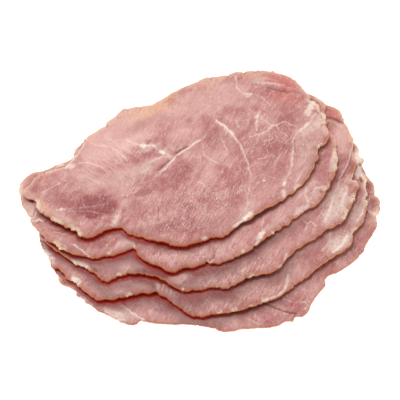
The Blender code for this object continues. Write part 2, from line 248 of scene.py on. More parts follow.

# Slits, creases and pits, darkened with painted shade: (half width in mm, how dark the painted shade is,
# depth in mm, points).
SLITS = {
    "slice_1": {
        "open slit": (0.36, 1.0, 0.5, ((176, 152.8), (181.5, 149.8), (187.7, 146.4))),
        "lower slit": (0.36, 0.95, 0.5, ((158, 169.8), (163.5, 165.5), (169, 160.3))),
        "groove of the main seam": (0.35, 0.4, 0.2, ((160, 173.5), (152, 181.5), (142, 188.5), (130, 196.5))),
        "behind the back fold": (0.5, 0.45, 0.3, ((85.5, 139.5), (77, 150.5), (69.5, 160.5), (64.5, 165),
            (54, 168.5))),
        "pit on the main seam": (0.5, 0.9, 0.3, ((126, 197), (126.4, 197.2))),
        "upper pits": (0.4, 0.6, 0.2, ((157, 147), (160.5, 150))),
        "pit above": (0.4, 0.5, 0.2, ((126, 176), (126.3, 176.2))),
        "hanging slit": (0.3, 0.7, 0.25, ((158.2, 205.5), (158.4, 212), (158.8, 220))),
        "short slit": (0.3, 0.45, 0.15, ((179.6, 211), (182.8, 206.5))),
        "right slit": (0.3, 0.75, 0.3, ((294.6, 140), (294.9, 152))),
        "right slit, lower": (0.3, 0.4, 0.2, ((293.6, 170), (290.5, 176.5), (287, 182.5))),
        "red crease": (0.9, 0.6, 0.8, ((267, 86.5), (273, 88), (279, 90), (287, 91))),
        "red crease, faint end": (0.9, 0.25, 0.4, ((287, 91), (294, 91.5), (301, 93))),
        "edge notch": (0.7, 0.8, 0.4, ((310, 98), (311.5, 100))),
        "crumbled edge": (0.45, 0.5, 0.3, ((316, 111), (320, 114), (322.5, 118.5))),
        "orange dimple": (0.6, 0.35, 0.2, ((256, 84.4), (256.6, 84.7))),
        "dark spot": (0.8, 0.3, 0.15, ((284.5, 144.5), (287, 145.5))),
        "red speck": (0.5, 0.5, 0.15, ((187.5, 166.6), (188.3, 167.2))),
        "fan line": (0.3, 0.3, 0.1, ((72, 210), (90, 209), (106, 211))),
        "fan line, lower": (0.3, 0.3, 0.1, ((86, 216), (98, 218), (106, 220))),
    },
    "slice_2": {
        "left crease": (0.4, 0.8, 0.5, ((37.6, 205), (35.5, 210.5), (33.5, 216.5))),
        "under the tip": (1.0, 0.8, 0.5, ((28.5, 198), (33, 202))),
        "under the curl": (0.4, 0.6, 0.4, ((36.5, 223.3), (39.5, 222), (42, 222.8))),
        "left tear": (0.35, 0.5, 0.3, ((45.5, 223), (47.5, 220.2))),
        "front tear": (0.4, 0.9, 0.5, ((206, 262.3), (209, 261.2), (213, 258.5), (214.8, 251))),
        "pit": (0.5, 0.8, 0.4, ((326.2, 183.8), (326.8, 184.2))),
        "lower pit": (0.5, 0.7, 0.4, ((321.6, 191.2), (322, 191.8))),
        "fat pits": (0.5, 0.5, 0.3, ((62, 246), (65, 248))),
    },
    "slice_3": {
        "lobe crease": (0.65, 0.85, 0.8, ((324.5, 117), (331, 117.8), (337, 119.8), (343.5, 122.2))),
        "flap shadow": (0.5, 0.6, 0.5, ((352.3, 150), (349, 164), (344.5, 173.5), (341, 178))),
        "flap notch": (0.45, 0.9, 0.4, ((352.5, 179.6), (356.5, 178.6))),
        "pit": (0.6, 0.6, 0.3, ((343.6, 213.2), (344, 213.8))),
        "pit, left": (0.5, 0.4, 0.2, ((336.6, 208.8), (336.9, 209.2))),
        "rim notch": (0.5, 0.7, 0.4, ((94.5, 268.5), (95.5, 270.5))),
    },
    "slice_4": {
        "fat pit": (0.8, 1.0, 0.4, ((359.9, 164.2), (360.6, 164.8))),
        "fat pit, lower": (0.7, 1.0, 0.4, ((359.5, 177), (361.5, 181))),
        "fat pit, right": (0.8, 1.0, 0.4, ((362.8, 168.5), (363.8, 172))),
        "rim pit": (0.5, 0.9, 0.4, ((366.5, 197), (369, 198.5))),
        "fibre gap a": (0.25, 0.45, 0.15, ((162.5, 283), (160, 291))),
        "fibre gap b": (0.25, 0.5, 0.15, ((166.5, 283), (164, 293))),
        "fibre gap c": (0.25, 0.5, 0.15, ((170.5, 285), (167.5, 296))),
        "fibre gap d": (0.25, 0.45, 0.15, ((175, 287), (171.5, 298))),
        "rim crumbs": (0.5, 0.8, 0.4, ((218, 310.8), (219, 311.5))),
    },
    "slice_5": {
        "tear": (0.55, 1.0, 0.6, ((263, 302.5), (270, 305.5), (277, 308.5), (284, 311.3), (290, 312.6),
            (296, 313.4))),
        "red spot": (0.6, 0.55, 0.2, ((113.4, 313.2), (114.2, 313.7))),
        "between the lobes": (0.45, 0.7, 0.5, ((367, 194), (371, 194.5), (374.5, 193.5))),
        "ripple a": (0.35, 0.4, 0.2, ((285.5, 287), (290, 293))),
        "ripple b": (0.35, 0.4, 0.2, ((281, 290), (286, 297))),
        "ripple c": (0.35, 0.35, 0.2, ((277, 294), (282, 299.5))),
        "under the yellow band": (0.4, 0.6, 0.3, ((366, 211), (370, 214.5))),
    },
}

# Patches of each kind: (how much, centre, half sizes, turn in degrees).
# light: lighter pink, partly painted light, and it takes away some painted shade; rosy: redder and darker;
# pale: beige; fat: cream; golden: yellow orange; web: fine threads of fat; coarse: open grain, with fibres
# that stand up; dark: painted shade, as in a slit.
PATCHES = {
    "slice_1": {
        "coarse": {"middle": (1.0, (192, 208), (48, 26), 16), "front": (0.4, (236, 190), (24, 24), 0),
            "right lobe": (0.9, (303, 148), (9, 11), 0)},
        "web": {"right": (1.0, (266, 128), (38, 32), 0), "lower": (0.6, (272, 170), (24, 22), 0),
            "left": (0.7, (112, 148), (34, 20), -10), "top": (0.7, (212, 100), (26, 16), 0),
            "middle": (0.4, (222, 155), (24, 24), 0)},
        "golden": {"back fold": (0.9, (69, 153), (12, 5), 52),
            "back fold, left": (0.7, (62, 162.5), (9, 2.6), 6),
            # The back edge patches are a painted glow of light through the thin edge.
            "back edge": (0.8, (152, 108), (34, 9), 24), "back edge, right": (0.55, (212, 81), (24, 4.5), 17),
            "back edge, end": (0.4, (252, 76), (18, 4), -4), "notch": (0.4, (92, 138), (8, 5), 35),
            "left edge": (0.65, (43, 207), (9, 6), -42), "left edge, lower": (0.35, (60, 220), (15, 4), -28)},
        "light": {"upper left": (0.9, (118, 132), (56, 24), 32), "left": (0.1, (66, 180), (36, 18), 10),
            "top": (0.75, (205, 100), (50, 17), 20), "streak in the middle": (0.5, (206, 176), (34, 5), 62),
            "by the long seam": (0.4, (262, 196), (26, 7), 40),
            "at the blotches": (0.5, (136, 141), (18, 6), 20),
            "at the open slit": (0.45, (186, 131), (26, 9), 26), "left fold": (0.4, (112, 176), (26, 7), 30)},
        "rosy": {"front": (0.42, (196, 226), (44, 11), 4), "front, left": (0.5, (152, 231), (30, 9), 12),
            "fan": (0.8, (92, 207), (30, 15), 4), "fan, middle": (0.9, (95, 206), (22, 12), 4),
            "tip": (0.5, (36, 188), (8, 6), 0), "middle left": (0.35, (60, 200), (20, 8), -10),
            "strip": (0.75, (145, 192.5), (11, 4), 22), "salmon": (0.45, (135, 205), (8, 7), 0),
            "by the main seam": (0.45, (178, 176), (26, 10), 38),
            "by the long seam": (0.4, (214, 140), (12, 12), 30),
            "red lobe's rim": (0.5, (290, 77), (14, 3.5), -22), "top left": (0.35, (142, 124), (22, 6), 30),
            "right": (0.35, (288, 112), (18, 12), -20), "middle": (0.35, (236, 112), (16, 5), 0),
            "under the web": (0.45, (272, 146), (26, 7), -6), "front right": (0.35, (270, 175), (22, 14), 40),
            "front middle": (0.3, (232, 205), (12, 14), -20),
            "right lobe": (0.22, (308, 155), (14, 28), -14)},
        "red": {"lobe": (1.0, (284, 81), (21, 9), -14), "under the crease": (0.6, (286, 97), (22, 8), -10)},
        # The sheen patches are a painted sheen.
        "pale": {"open slit": (0.75, (170, 149), (13, 5), 22), "sheen": (0.55, (128, 177), (28, 9), 26),
            "sheen, left": (0.4, (88, 178), (14, 10), 0), "under the leaf": (0.5, (150, 165), (18, 6), 28),
            "top": (0.3, (240, 100), (18, 8), 20), "right lobe": (0.5, (310, 150), (14, 32), -14),
            "fat end": (0.6, (246, 213), (10, 6), 30), "left edge": (0.7, (60, 219), (17, 6), -28),
            # The glow at the top is painted light.
            "glow at the top": (0.6, (258, 81), (7, 2.4), 8)},
        "fat": {"right edge": (0.85, (310.5, 107), (4, 10), -32),
            "right edge, lower": (0.5, (319, 121), (5, 10), -30),
            "right lobe": (0.35, (306, 130), (9, 6), 35), "end": (0.85, (249.5, 214.5), (4.6, 2.6), 30),
            "end, below": (0.8, (244.5, 218.5), (3.6, 3.0), 20), "wedge": (0.9, (239, 223.5), (8.5, 2.0), 36),
            "at the fold": (0.6, (70.5, 166.5), (6, 2.6), 16),
            "behind the fold": (0.85, (60, 161), (8, 4), 14),
            "behind, upper": (0.7, (75, 148), (8, 4), 54), "blotch": (0.75, (144, 145), (4, 3), 0),
            "blotch, right": (0.75, (162, 152), (3.4, 2.2), -20),
            "by the notch": (0.4, (116, 219), (4.5, 9), -24),
            "haze": (0.32, (150, 147), (15, 4), 20), "in the web": (0.6, (256.5, 117), (2.4, 2.4), 0),
            "faint blotch": (0.4, (249, 95), (5, 2.5), 8), "front": (0.35, (284, 194), (4, 5), -20)},
    },
    "slice_2": {
        "coarse": {"front": (0.9, (190, 252), (62, 12), 8)},
        "web": {"right": (0.7, (312, 196), (18, 20), 30)},
        "pale": {"stretch": (0.8, (125, 243.5), (10, 7), 20), "tip": (0.9, (29, 208), (8, 12), -20),
            "front": (0.4, (275, 222), (16, 6), 38), "right": (0.5, (312, 193), (16, 14), 40)},
        "light": {"front": (0.6, (172, 256), (30, 7), 14)},
        "fat": {"fold at the tip": (0.4, (34, 212), (3, 6), -20),
            "wedge": (0.9, (260.5, 235.5), (2.6, 7), -30), "wedge, tail": (0.7, (255.5, 244.5), (5, 1.6), 42),
            "front right": (0.55, (304, 208.5), (11, 4), 32),
            "right edge": (0.45, (332.5, 160), (2.6, 14), -10)},
        # The hollow at the tip is painted shade under the tip of slice 1.
        "dark": {"hollow at the tip": (0.9, (32, 200.5), (3.4, 2.2), 35)},
        "rosy": {"fold": (0.6, (60, 233), (11, 4), -22), "left": (0.55, (88, 243), (24, 9), 10),
            # By slice 1: painted shade beside the edge of slice 1.
            "by slice 1": (0.3, (322, 158), (7, 16), -20), "top lobe": (0.6, (316, 99), (9, 6), -38)},
        "golden": {"top lobe": (0.3, (317, 103), (7, 8), -38)},
    },
    "slice_3": {
        "coarse": {"front": (1.0, (225, 274), (54, 13), 20), "mottled": (0.7, (336, 208), (14, 22), -28)},
        "web": {"right": (0.8, (325, 215), (24, 22), 30)},
        "red": {"lobe": (1.0, (334, 111), (13, 10), -30)},
        "light": {"under the lobe": (1.0, (341, 140), (10, 19), -14), "front": (1.0, (176, 280), (18, 5), 14),
            "left": (0.5, (130, 266), (24, 7), 0)},
        # By slice 2: painted shade beside the edge of slice 2.
        "rosy": {"by slice 2": (0.3, (329, 150), (4, 18), -14), "flap": (0.45, (352, 163), (4, 9), -18),
            "mottled": (0.3, (349, 190), (5, 9), -20), "front": (0.35, (120, 262), (16, 5), 5),
            "right front": (0.3, (296, 232), (14, 8), 35)},
        "golden": {"edge": (0.9, (351, 136), (3.2, 9), -14)},
        "fat": {"left fringe": (0.8, (42, 236), (5, 9), 22), "mottled": (0.3, (337, 206), (11, 22), -28),
            "left": (0.75, (79, 262.5), (12, 3.6), -24)},
        "pale": {"mottled": (0.7, (337, 206), (15, 26), -28), "stretch": (0.7, (153, 271.5), (12, 5), 0),
            "front": (0.25, (228, 268), (26, 9), 20)},
    },
    "slice_4": {
        "coarse": {"crest": (1.0, (170, 290), (16, 9), -20), "front": (0.9, (236, 295), (54, 11), 14),
            "right": (0.8, (342, 243), (18, 14), 38)},
        "fat": {"left fringe": (0.9, (43, 243), (5, 14), 22),
            "left fringe, lower": (0.7, (50, 258), (4, 9), 24),
            "lump": (0.95, (359, 156), (7, 14), -26), "lump, lower": (1.0, (360.5, 171), (5.5, 8), -20),
            "right edge": (0.6, (366.5, 186), (3, 13), -6), "mottled": (0.25, (359, 213), (7, 12), -22),
            "front right": (0.4, (341, 243), (13, 8), 38), "left": (0.75, (76, 280), (5.5, 3.6), -38),
            "crest": (0.6, (156.5, 286), (3.6, 5), -10)},
        "light": {"left": (0.4, (62, 264), (12, 16), 30), "crest": (1.0, (167, 290), (12, 10), -30),
            "front": (0.5, (250, 288), (24, 6), 24), "left of the crest": (0.55, (128, 288), (30, 8), -6)},
        "rosy": {"by the fringe": (0.35, (63, 258), (8, 10), 30), "left": (0.35, (110, 285), (26, 6), -6),
            "front": (0.25, (225, 297), (30, 7), 12), "right": (0.3, (310, 262), (12, 9), 40)},
        "web": {"right": (0.8, (350, 228), (16, 26), -20)},
        "golden": {"lump": (0.5, (356, 149), (6, 8), -26)},
        "pale": {"mottled": (0.65, (359, 213), (10, 16), -22), "front right": (0.8, (340, 244), (17, 12), 38),
            "left of the crest": (0.6, (146, 284), (14, 5), 0)},
    },
    "slice_5": {
        "web": {"right": (0.6, (300, 300), (30, 16), 20)},
        "coarse": {"right": (0.4, (350, 260), (20, 16), 30)},
        "fat": {"left fringe": (0.8, (43, 242), (4, 12), 22),
            "left fringe, lower": (0.75, (52, 259), (4, 10), 24),
            "left front": (0.45, (86, 297), (12, 4), -36), "front": (0.6, (116, 315), (14, 5), -30)},
        "golden": {"left front": (0.45, (66, 280), (14, 8), -50), "left": (0.6, (66, 280), (12, 14), -45),
            "yellow band": (0.9, (373, 213.5), (7, 2.6), -12), "right edge": (0.5, (378, 224), (2.5, 12), 0)},
        "pale": {"round the fat": (0.6, (116, 312), (22, 9), -30)},
        "rosy": {"salmon": (0.4, (141, 308), (14, 6), 0), "red lobe": (1.0, (371, 185), (5, 10), -20),
            "pink lobe": (0.7, (374, 202), (6, 8), 0), "right": (0.35, (362, 240), (14, 26), 24),
            "front": (0.3, (290, 303), (24, 9), 20)},
        "light": {"left": (1.0, (66, 282), (16, 18), -45), "front": (0.4, (200, 318), (50, 8), 0)},
    },
}

# Where the cut edge crumbles into cream fat: (centre, radius).
CRUMBLY = {
    "slice_1": (((75, 231), 10), ((57, 221), 8), ((38, 204), 6), ((204, 237), 4), ((314, 104), 8),
        ((322, 118), 8), ((320, 146), 4), ((297, 187), 5)),
    "slice_2": (((60, 245), 9), ((109, 252), 3), ((208, 262), 2.6), ((273, 232), 2.4), ((331, 160), 14),
        ((325, 186), 5), ((316, 104), 7), ((243, 251), 2.4), ((22, 190), 7), ((34, 216), 7)),
    "slice_3": (((82, 263), 11), ((119, 274), 3), ((218, 288), 2.6), ((252, 277), 4), ((354, 178), 5),
        ((344, 214), 7), ((352, 198), 6), ((40, 232), 9)),
    "slice_4": (((46, 250), 9), ((76, 281), 7), ((129, 295), 4), ((219, 310), 4), ((234, 309), 4),
        ((251, 307), 3), ((362, 175), 14), ((367, 200), 8), ((355, 232), 6), ((265, 300), 4)),
    "slice_5": (((45, 246), 12), ((54, 262), 7), ((376, 212), 5), ((84, 298), 5), ((118, 322), 4)),
}

# Where the cut edge juts out or is nicked: (centre, radius, how far out in mm).
JUTS = {
    "slice_1": (((138, 107), 17, 0.9), ((107, 121), 13, -0.8), ((75, 151), 9, 2.3), ((60, 163), 7, 2.4),
        ((48, 170), 8, -1.0), ((222, 75), 14, -1.9), ((247, 71), 12, -1.0), ((235, 74), 3, -0.6),
        ((273, 73), 3, 0.9), ((306, 96), 4, 0.7), ((312, 99), 3, -1.0), ((121, 228), 3, -0.8),
        ((72, 233), 9, -1.3), ((59, 226), 7, -0.8), ((69, 228), 3, -0.5), ((79, 234), 3, 0.5),
        ((331, 127), 12, -2.0), ((321, 111), 6, -0.8), ((318, 156), 7, 1.6), ((314, 168), 6, 0.8),
        ((326, 130), 3, -0.9), ((321, 149), 3, -0.6), ((327, 136), 3, 0.5), ((215, 241), 8, -1.7),
        ((71, 230), 1.8, 0.8), ((75, 232), 1.6, -0.8), ((78, 234), 1.8, 0.7), ((82, 237), 1.6, -0.9),
        ((124, 109), 5, 1.0), ((31, 202), 6, -2.2), ((28, 182), 7, -1.3)),
    "slice_2": (((44, 169), 11, -1.6), ((20, 187), 5, 0.6), ((134, 250), 4, -0.8), ((207, 264), 2.5, -1.3),
        ((329, 111), 9, -2.0), ((334, 127), 10, -2.2), ((336, 144), 3, 0.6), ((334, 159), 3, 0.8),
        ((334, 151), 3, -0.8), ((327, 184), 3, -0.9), ((57, 243), 3, -0.8), ((52, 244), 4, -0.8),
        ((45, 239), 3, 0.5), ((184, 271), 9, -1.8), ((56, 244), 1.8, -1.0), ((60, 247), 1.8, 0.7)),
    "slice_3": (((345, 121), 8, -0.7), ((352, 136), 6, 0.6), ((358, 151), 9, -2.4), ((355, 178), 2.6, -1.4),
        ((95, 270), 2.6, -1.2), ((358, 185), 5, 0.6), ((118, 276), 3, -0.7), ((194, 296), 10, -3.2)),
    "slice_4": (((361, 160), 4, 1.3), ((356, 148), 6, 0.8), ((368, 198), 2.6, -1.4), ((81, 284), 3, -1.0),
        ((156, 294), 3, -0.8), ((58, 274), 10, -1.9), ((47, 260), 9, -1.5), ((71, 282), 6, -0.8)),
    "slice_5": (((376, 194), 3.4, -1.5), ((372, 185), 5, 0.5), ((379, 203), 5, 0.4),
        ((378, 212.5), 2.6, -1.6),
        ((380, 219), 5, -1.6), ((363, 250), 12, 0.7), ((298, 316.5), 3.4, -1.4), ((293, 319), 3, 0.7),
        ((250, 331), 22, -1.1), ((167, 322), 27, 1.5), ((88, 307), 13, -1.1), ((64, 284), 10, 1.0),
        ((46, 257), 10, -1.2), ((141, 322), 3, -0.9), ((163, 325), 2.5, -0.6), ((127, 326), 10, -1.2),
        ((380, 207), 5, -0.6), ((381, 214), 5, -1.2), ((62, 281), 8, 1.8), ((75, 291), 3.5, -1.0),
        ((80, 299), 6, -1.6), ((91, 304), 3, -0.8)),
}

# Crumbs of fat stuck to the meat: (radius and height in mm, place).
CRUMBS = {
    "slice_1": ((0.5, 0.25, (264.3, 180.5)), (0.4, 0.25, (227, 115.8)), (0.5, 0.3, (222.3, 172))),
    "slice_2": ((0.45, 0.25, (107, 245)),),
    "slice_3": ((0.5, 0.3, (118.8, 273.6)), (0.4, 0.25, (259, 258)), (0.9, 0.6, (183, 289))),
    "slice_4": ((0.95, 0.8, (183.2, 291)), (0.7, 0.4, (182.6, 292.6)), (0.5, 0.3, (121.5, 291))),
    "slice_5": ((0.5, 0.3, (305.5, 308.5)), (0.6, 0.3, (124, 306))),
}

# Steps, where a torn lobe lies lower on the right of the line: (drop in mm, how far it fades, points).
STEPS = {
    "slice_1": {
        "right lobe": (0.25, 5.0, ((287, 177), (292.3, 164), (293.3, 151), (293.8, 139), (297, 133))),
        "back fold": (0.8, 9.0, SEAMS["slice_1"]["back fold"][3]),
    },
    "slice_3": {"flap": (0.8, 5.0, SEAMS["slice_3"]["flap edge"][3])},
}

# Where the fibres lean the other way: (centre, half sizes, turn), on slice 1 alone.
LEFT_FIBRES = ((105, 160), (34, 26), 20)

# ---- colours, as sRGB from 0 to 255

# Two colours each, for a field at 0 and at 1.
LEAN = ((177, 102, 98), (198, 138, 131))
# The painted shade in front of the slice above.
SHADED = ((122, 70, 65), (128, 44, 36))
# The painted dark red shadow right at the edge of the slice above.
RED_SHADOW = ((138, 26, 16), (174, 25, 8))
LIP = ((226, 172, 132), (214, 124, 66))

# Layers, from the bottom up: (colour, strength, what it follows). A layer follows the product of its
# fields, each as it is, or stretched to run from 0 at the first number to 1 at the second.
MEAT_LAYERS = {
    "pale bands": ((218, 170, 160), 0.42, ("wide streaks", 0.48, 0.68)),
    "dark bands": ((162, 84, 82), 0.35, ("wide streaks", 0.46, 0.28)),
    "pale mottling": ((216, 166, 157), 0.42, ("mottle", 0.42, 0.72)),
    "dark mottling": ((170, 100, 96), 0.38, ("mottle", 0.45, 0.25)),
    # Lighter pink, partly painted light.
    "light": ((230, 182, 172), 0.75, ("light",)),
    "rosy": ((148, 60, 60), 0.9, ("rosy",), ("mottle", -0.1, 0.5)),
    "red": ((202, 108, 97), 0.85, ("red",), ("mottle", -0.1, 0.5)),
    "pale": ((214, 180, 167), 0.85, ("pale",), ("mottle", 0.2, 0.55)),
    "golden": ((234, 184, 144), 0.95, ("golden",), ("grit", 0.3, 0.6)),
    "pale fibres": ((238, 200, 191), 0.75, ("streaks", 0.54, 0.7), ("open grain",)),
    "dark fibres": ((150, 78, 74), 0.6, ("streaks", 0.46, 0.3), ("open grain",)),
    "pale grit": ((240, 206, 197), 0.75, ("grit", 0.55, 0.7), ("open grain",)),
    "dark grit": ((146, 74, 70), 0.6, ("grit", 0.42, 0.3), ("open grain",)),
    "threads": ((242, 212, 200), 0.6, ("threads",)),
    "hairs": ((238, 204, 193), 0.5, ("hairs",)),
    "strands": ((240, 208, 197), 0.6, ("strands",), ("calm",)),
    # Painted shade where the front edge droops away from the light.
    "droop shade": ((152, 86, 66), 1.0, ("edge", 4.5, 0.2), ("front", 0.3, 0.8), ("droop shade red",)),
    "lip": ((188, 90, 40), 1.0, ("edge", 1.7, 0.3), ("front", 0.3, 0.8), ("lip red",)),
    # A painted glow of light through the thin back edges.
    "back edge": ((238, 196, 168), 0.6, ("edge", 3.4, 0.0), ("front", 0.6, 0.1)),
    "crumbs": ((236, 212, 186), 0.9, ("edge", 3.2, 0.6), ("crumb",), ("grit", 0.34, 0.5)),
    # Painted shade in the gaps between crumbs.
    "gaps": ((130, 66, 46), 0.8, ("edge", 2.6, 0.4), ("crumb",), ("mottle", 0.42, 0.3)),
    "fat": ((246, 226, 213), 1.0, ("fat",), ("gritty",)),
}
# Painted shade in slits, creases, pits and nicks.
SLIT_SHADE_LAYERS = {"slits": ((118, 40, 34), 0.9, ("dark",))}
RIND_LAYERS = {
    # The foot: partly the rind's own red brown, partly painted dark red shade under the cut edge.
    "foot": ((200, 54, 16), 1.0, ("fall", 0.4, 0.95)),
    "scorched": ((158, 66, 22), 0.6, ("mottle", 0.5, 0.34)),
    "brown": ((160, 62, 22), 0.7, ("redness",)),
    "crumbs": ((236, 206, 168), 1.0, ("crumb",), ("grit", 0.4, 0.55), ("fall", 1.0, 0.4)),
    # The back: a painted glow of light through the cut edge at the back.
    "back": ((236, 186, 156), 1.0, ("front", 0.45, 0.05)),
}


# ---- numbers


def smooth_step(low, high, value):
    share = np.clip((value - low) / (high - low), 0.0, 1.0)
    return share * share * (3.0 - 2.0 * share)


def bell(away, width):
    return np.exp(-((away / width) ** 2))


def along_stack(what, x):
    """How a look is at each x, with its changes from the left to the right of the stack."""
    value, *changes = ALONG_STACK[what]
    for change, start, end in changes:
        value = value + change * smooth_step(start, end, x)
    return value


def hashed(x, y, seed):
    """A repeatable random number from 0 to 1 for each whole x and y."""
    n = x.astype(np.int64) * 374761393 + y.astype(np.int64) * 668265263 + seed * 982451653
    n = (n ^ (n >> 13)) * 1274126177
    n = n ^ (n >> 16)
    return (n & 0xFFFFFF) / float(0xFFFFFF)


def noise(x, y, seed, length=1.0):
    """Smooth gradient noise, about -1 to 1, with features of this length."""
    x, y = x / length, y / length
    x0, y0 = np.floor(x), np.floor(y)
    fx, fy = x - x0, y - y0
    u = fx * fx * fx * (fx * (fx * 6 - 15) + 10)
    v = fy * fy * fy * (fy * (fy * 6 - 15) + 10)
    corners = []
    for dx in (0, 1):
        for dy in (0, 1):
            turn = 2 * math.pi * hashed(x0 + dx, y0 + dy, seed)
            corners.append(np.cos(turn) * (fx - dx) + np.sin(turn) * (fy - dy))
    left = corners[0] + (corners[1] - corners[0]) * v
    right = corners[2] + (corners[3] - corners[2]) * v
    return 1.5 * (left + (right - left) * u)


def layered_noise(x, y, length, seed, layers=3):
    """Several sizes of noise added up, the largest with features of this length."""
    total, share = 0.0, 1.0
    for layer in range(layers):
        scale = 2.0**layer / length
        total = total + share * noise(x * scale, y * scale, seed + 17 * layer)
        share *= 0.5
    return total


def fibre_noise(x, y, turn, across, along, seed):
    """Noise drawn out along a direction, given in degrees."""
    angle = math.radians(turn)
    run = math.cos(angle) * x + math.sin(angle) * y
    rise = -math.sin(angle) * x + math.cos(angle) * y
    return noise(run / along, rise / across, seed)


def shift_noise(x, y, seed, length):
    """Noise that moves points both ways."""
    return np.column_stack([noise(x, y, seed, length), noise(x, y, seed + 1, length)])


def blurred(grid, sigma):
    """The grid smoothed by a Gaussian of sigma cells; NaN cells are left out of the sums."""
    reach = int(3 * sigma + 1)
    weights = np.exp(-0.5 * (np.arange(-reach, reach + 1) / sigma) ** 2)
    missing = np.isnan(grid)
    filled, known = np.where(missing, 0.0, grid), np.where(missing, 0.0, 1.0)
    for axis in (0, 1):
        filled = np.apply_along_axis(np.convolve, axis, filled, weights, mode="same")
        known = np.apply_along_axis(np.convolve, axis, known, weights, mode="same")
    return filled / np.maximum(known, 1e-9)


# ---- the frame's slices


class Grid:
    """Values on a square grid over the whole stack, read between its points."""

    low = np.floor(np.array(cad_box[0][:2]) / MM) - GRID_MARGIN
    high = np.ceil(np.array(cad_box[1][:2]) / MM) + GRID_MARGIN
    count = ((high - low) / GRID_STEP).astype(int)
    x = low[0] + GRID_STEP * np.arange(count[0])
    y = low[1] + GRID_STEP * np.arange(count[1])

    def __init__(self, values):
        self.values = values

    def at(self, points):
        place = (points - Grid.low) / GRID_STEP
        place = np.clip(place, 0.0, Grid.count - 1.001)
        i, j = place.astype(int).T
        u, v = (place - np.floor(place)).T
        g = self.values
        near = g[i, j] * (1 - v) + g[i, j + 1] * v
        far = g[i + 1, j] * (1 - v) + g[i + 1, j + 1] * v
        return near * (1 - u) + far * u


def frame_mesh(node):
    """The corners (in millimetres) and triangles of a slice of the frame, with shared corners joined."""
    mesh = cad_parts[node].data
    places = np.empty(3 * len(mesh.vertices))
    mesh.vertices.foreach_get("co", places)
    places = np.round(places.reshape(-1, 3) / MM, 3)
    corners, joined = np.unique(places, axis=0, return_inverse=True)
    joined = joined.reshape(-1)
    mesh.calc_loop_triangles()
    triangles = np.array([tuple(triangle.vertices) for triangle in mesh.loop_triangles])
    return corners, joined[triangles]


def rim_of(corners, triangles):
    """The slice's outline seen from above, anticlockwise: where its upper face meets its upright rim."""
    a, b, c = (corners[triangles[:, k]] for k in range(3))
    normal = np.cross(b - a, c - a)
    normal /= np.maximum(np.linalg.norm(normal, axis=1), 1e-12)[:, None]
    upper = triangles[normal[:, 2] > 0.4]
    edges = {(int(t[k]), int(t[(k + 1) % 3])) for t in upper for k in range(3)}
    following = {start: end for start, end in edges if (end, start) not in edges}
    loops = []
    while following:
        loop = [next(iter(following))]
        while loop[-1] in following:
            loop.append(following.pop(loop[-1]))
        loops.append(loop[:-1])
    return corners[max(loops, key=len)][:, :2]


def height_grids(corners, triangles):
    """The slice's upper and lower height on the grid, smoothed and carried on past its outline."""
    tree = BVHTree.FromPolygons([Vector(c) for c in corners], [tuple(t) for t in triangles])
    sigma = HEIGHT_BLUR / GRID_STEP
    grids = []
    for start, way in ((200.0, -1.0), (-200.0, 1.0)):
        ray = Vector((0.0, 0.0, way))
        values = np.full(tuple(Grid.count), np.nan)
        for i, x in enumerate(Grid.x):
            for j, y in enumerate(Grid.y):
                hit = tree.ray_cast(Vector((x, y, start)), ray)[0]
                if hit:
                    values[i, j] = hit.z
        near = blurred(np.where(np.isnan(values), 0.0, 1.0), sigma)
        wide = blurred(values, 3 * HEIGHT_BLUR / GRID_STEP)
        grids.append(Grid(np.where(near > 0.02, blurred(values, sigma), wide)))
    return grids


# ---- outlines


def even_loop(loop, step):
    """A smooth closed curve through the loop's points, resampled every step or so."""
    fine = []
    count = len(loop)
    for index in range(count):
        a, b, c, d = (loop[(index + k) % count] for k in (-1, 0, 1, 2))
        for t in np.linspace(0.0, 1.0, 10, endpoint=False):
            fine.append(0.5 * (2 * b + (c - a) * t + (2 * a - 5 * b + 4 * c - d) * t * t
                               + (3 * b - a - 3 * c + d) * t**3))
    fine = np.array(fine)
    closed = np.vstack([fine, fine[:1]])
    travelled = np.concatenate([[0.0], np.cumsum(np.linalg.norm(np.diff(closed, axis=0), axis=1))])
    at = np.linspace(0.0, travelled[-1], round(travelled[-1] / step), endpoint=False)
    return np.column_stack([np.interp(at, travelled, closed[:, axis]) for axis in (0, 1)])


def outward_of(loop, reach=3):
    """The outward direction at each point of an anticlockwise loop, averaged along it."""
    along = np.roll(loop, -reach, axis=0) - np.roll(loop, reach, axis=0)
    along /= np.linalg.norm(along, axis=1)[:, None]
    return np.column_stack([along[:, 1], -along[:, 0]])


def inside_loop(points, loop, batch=4000):
    """Which points lie inside the closed loop."""
    ends = np.roll(loop, -1, axis=0)
    rise = np.where(ends[:, 1] == loop[:, 1], 1e-12, ends[:, 1] - loop[:, 1])
    result = np.zeros(len(points), bool)
    for start in range(0, len(points), batch):
        x, y = points[start : start + batch, :1], points[start : start + batch, 1:]
        spans = (loop[:, 1] > y) != (ends[:, 1] > y)
        crossing = loop[:, 0] + (y - loop[:, 1]) * (ends[:, 0] - loop[:, 0]) / rise
        result[start : start + batch] = (spans & (x < crossing)).sum(1) % 2 == 1
    return result


def tree_of(points):
    tree = KDTree(len(points))
    for index, (x, y) in enumerate(points):
        tree.insert((x, y, 0.0), index)
    tree.balance()
    return tree


def distance_from(tree, points):
    return np.array([tree.find((x, y, 0.0))[2] for x, y in points])


def signed_distance_grid(loop):
    """How far each grid point lies inside the loop, negative outside."""
    gx, gy = np.meshgrid(Grid.x, Grid.y, indexing="ij")
    points = np.column_stack([gx.ravel(), gy.ravel()])
    away = distance_from(tree_of(loop), points)
    sign = np.where(inside_loop(points, loop), 1.0, -1.0)
    return Grid((away * sign).reshape(gx.shape))


def lean_of(grid):
    """How fast a grid's values rise towards the back, smoothed."""
    return np.gradient(blurred(grid.values, LEAN_BLUR), GRID_STEP)[1]


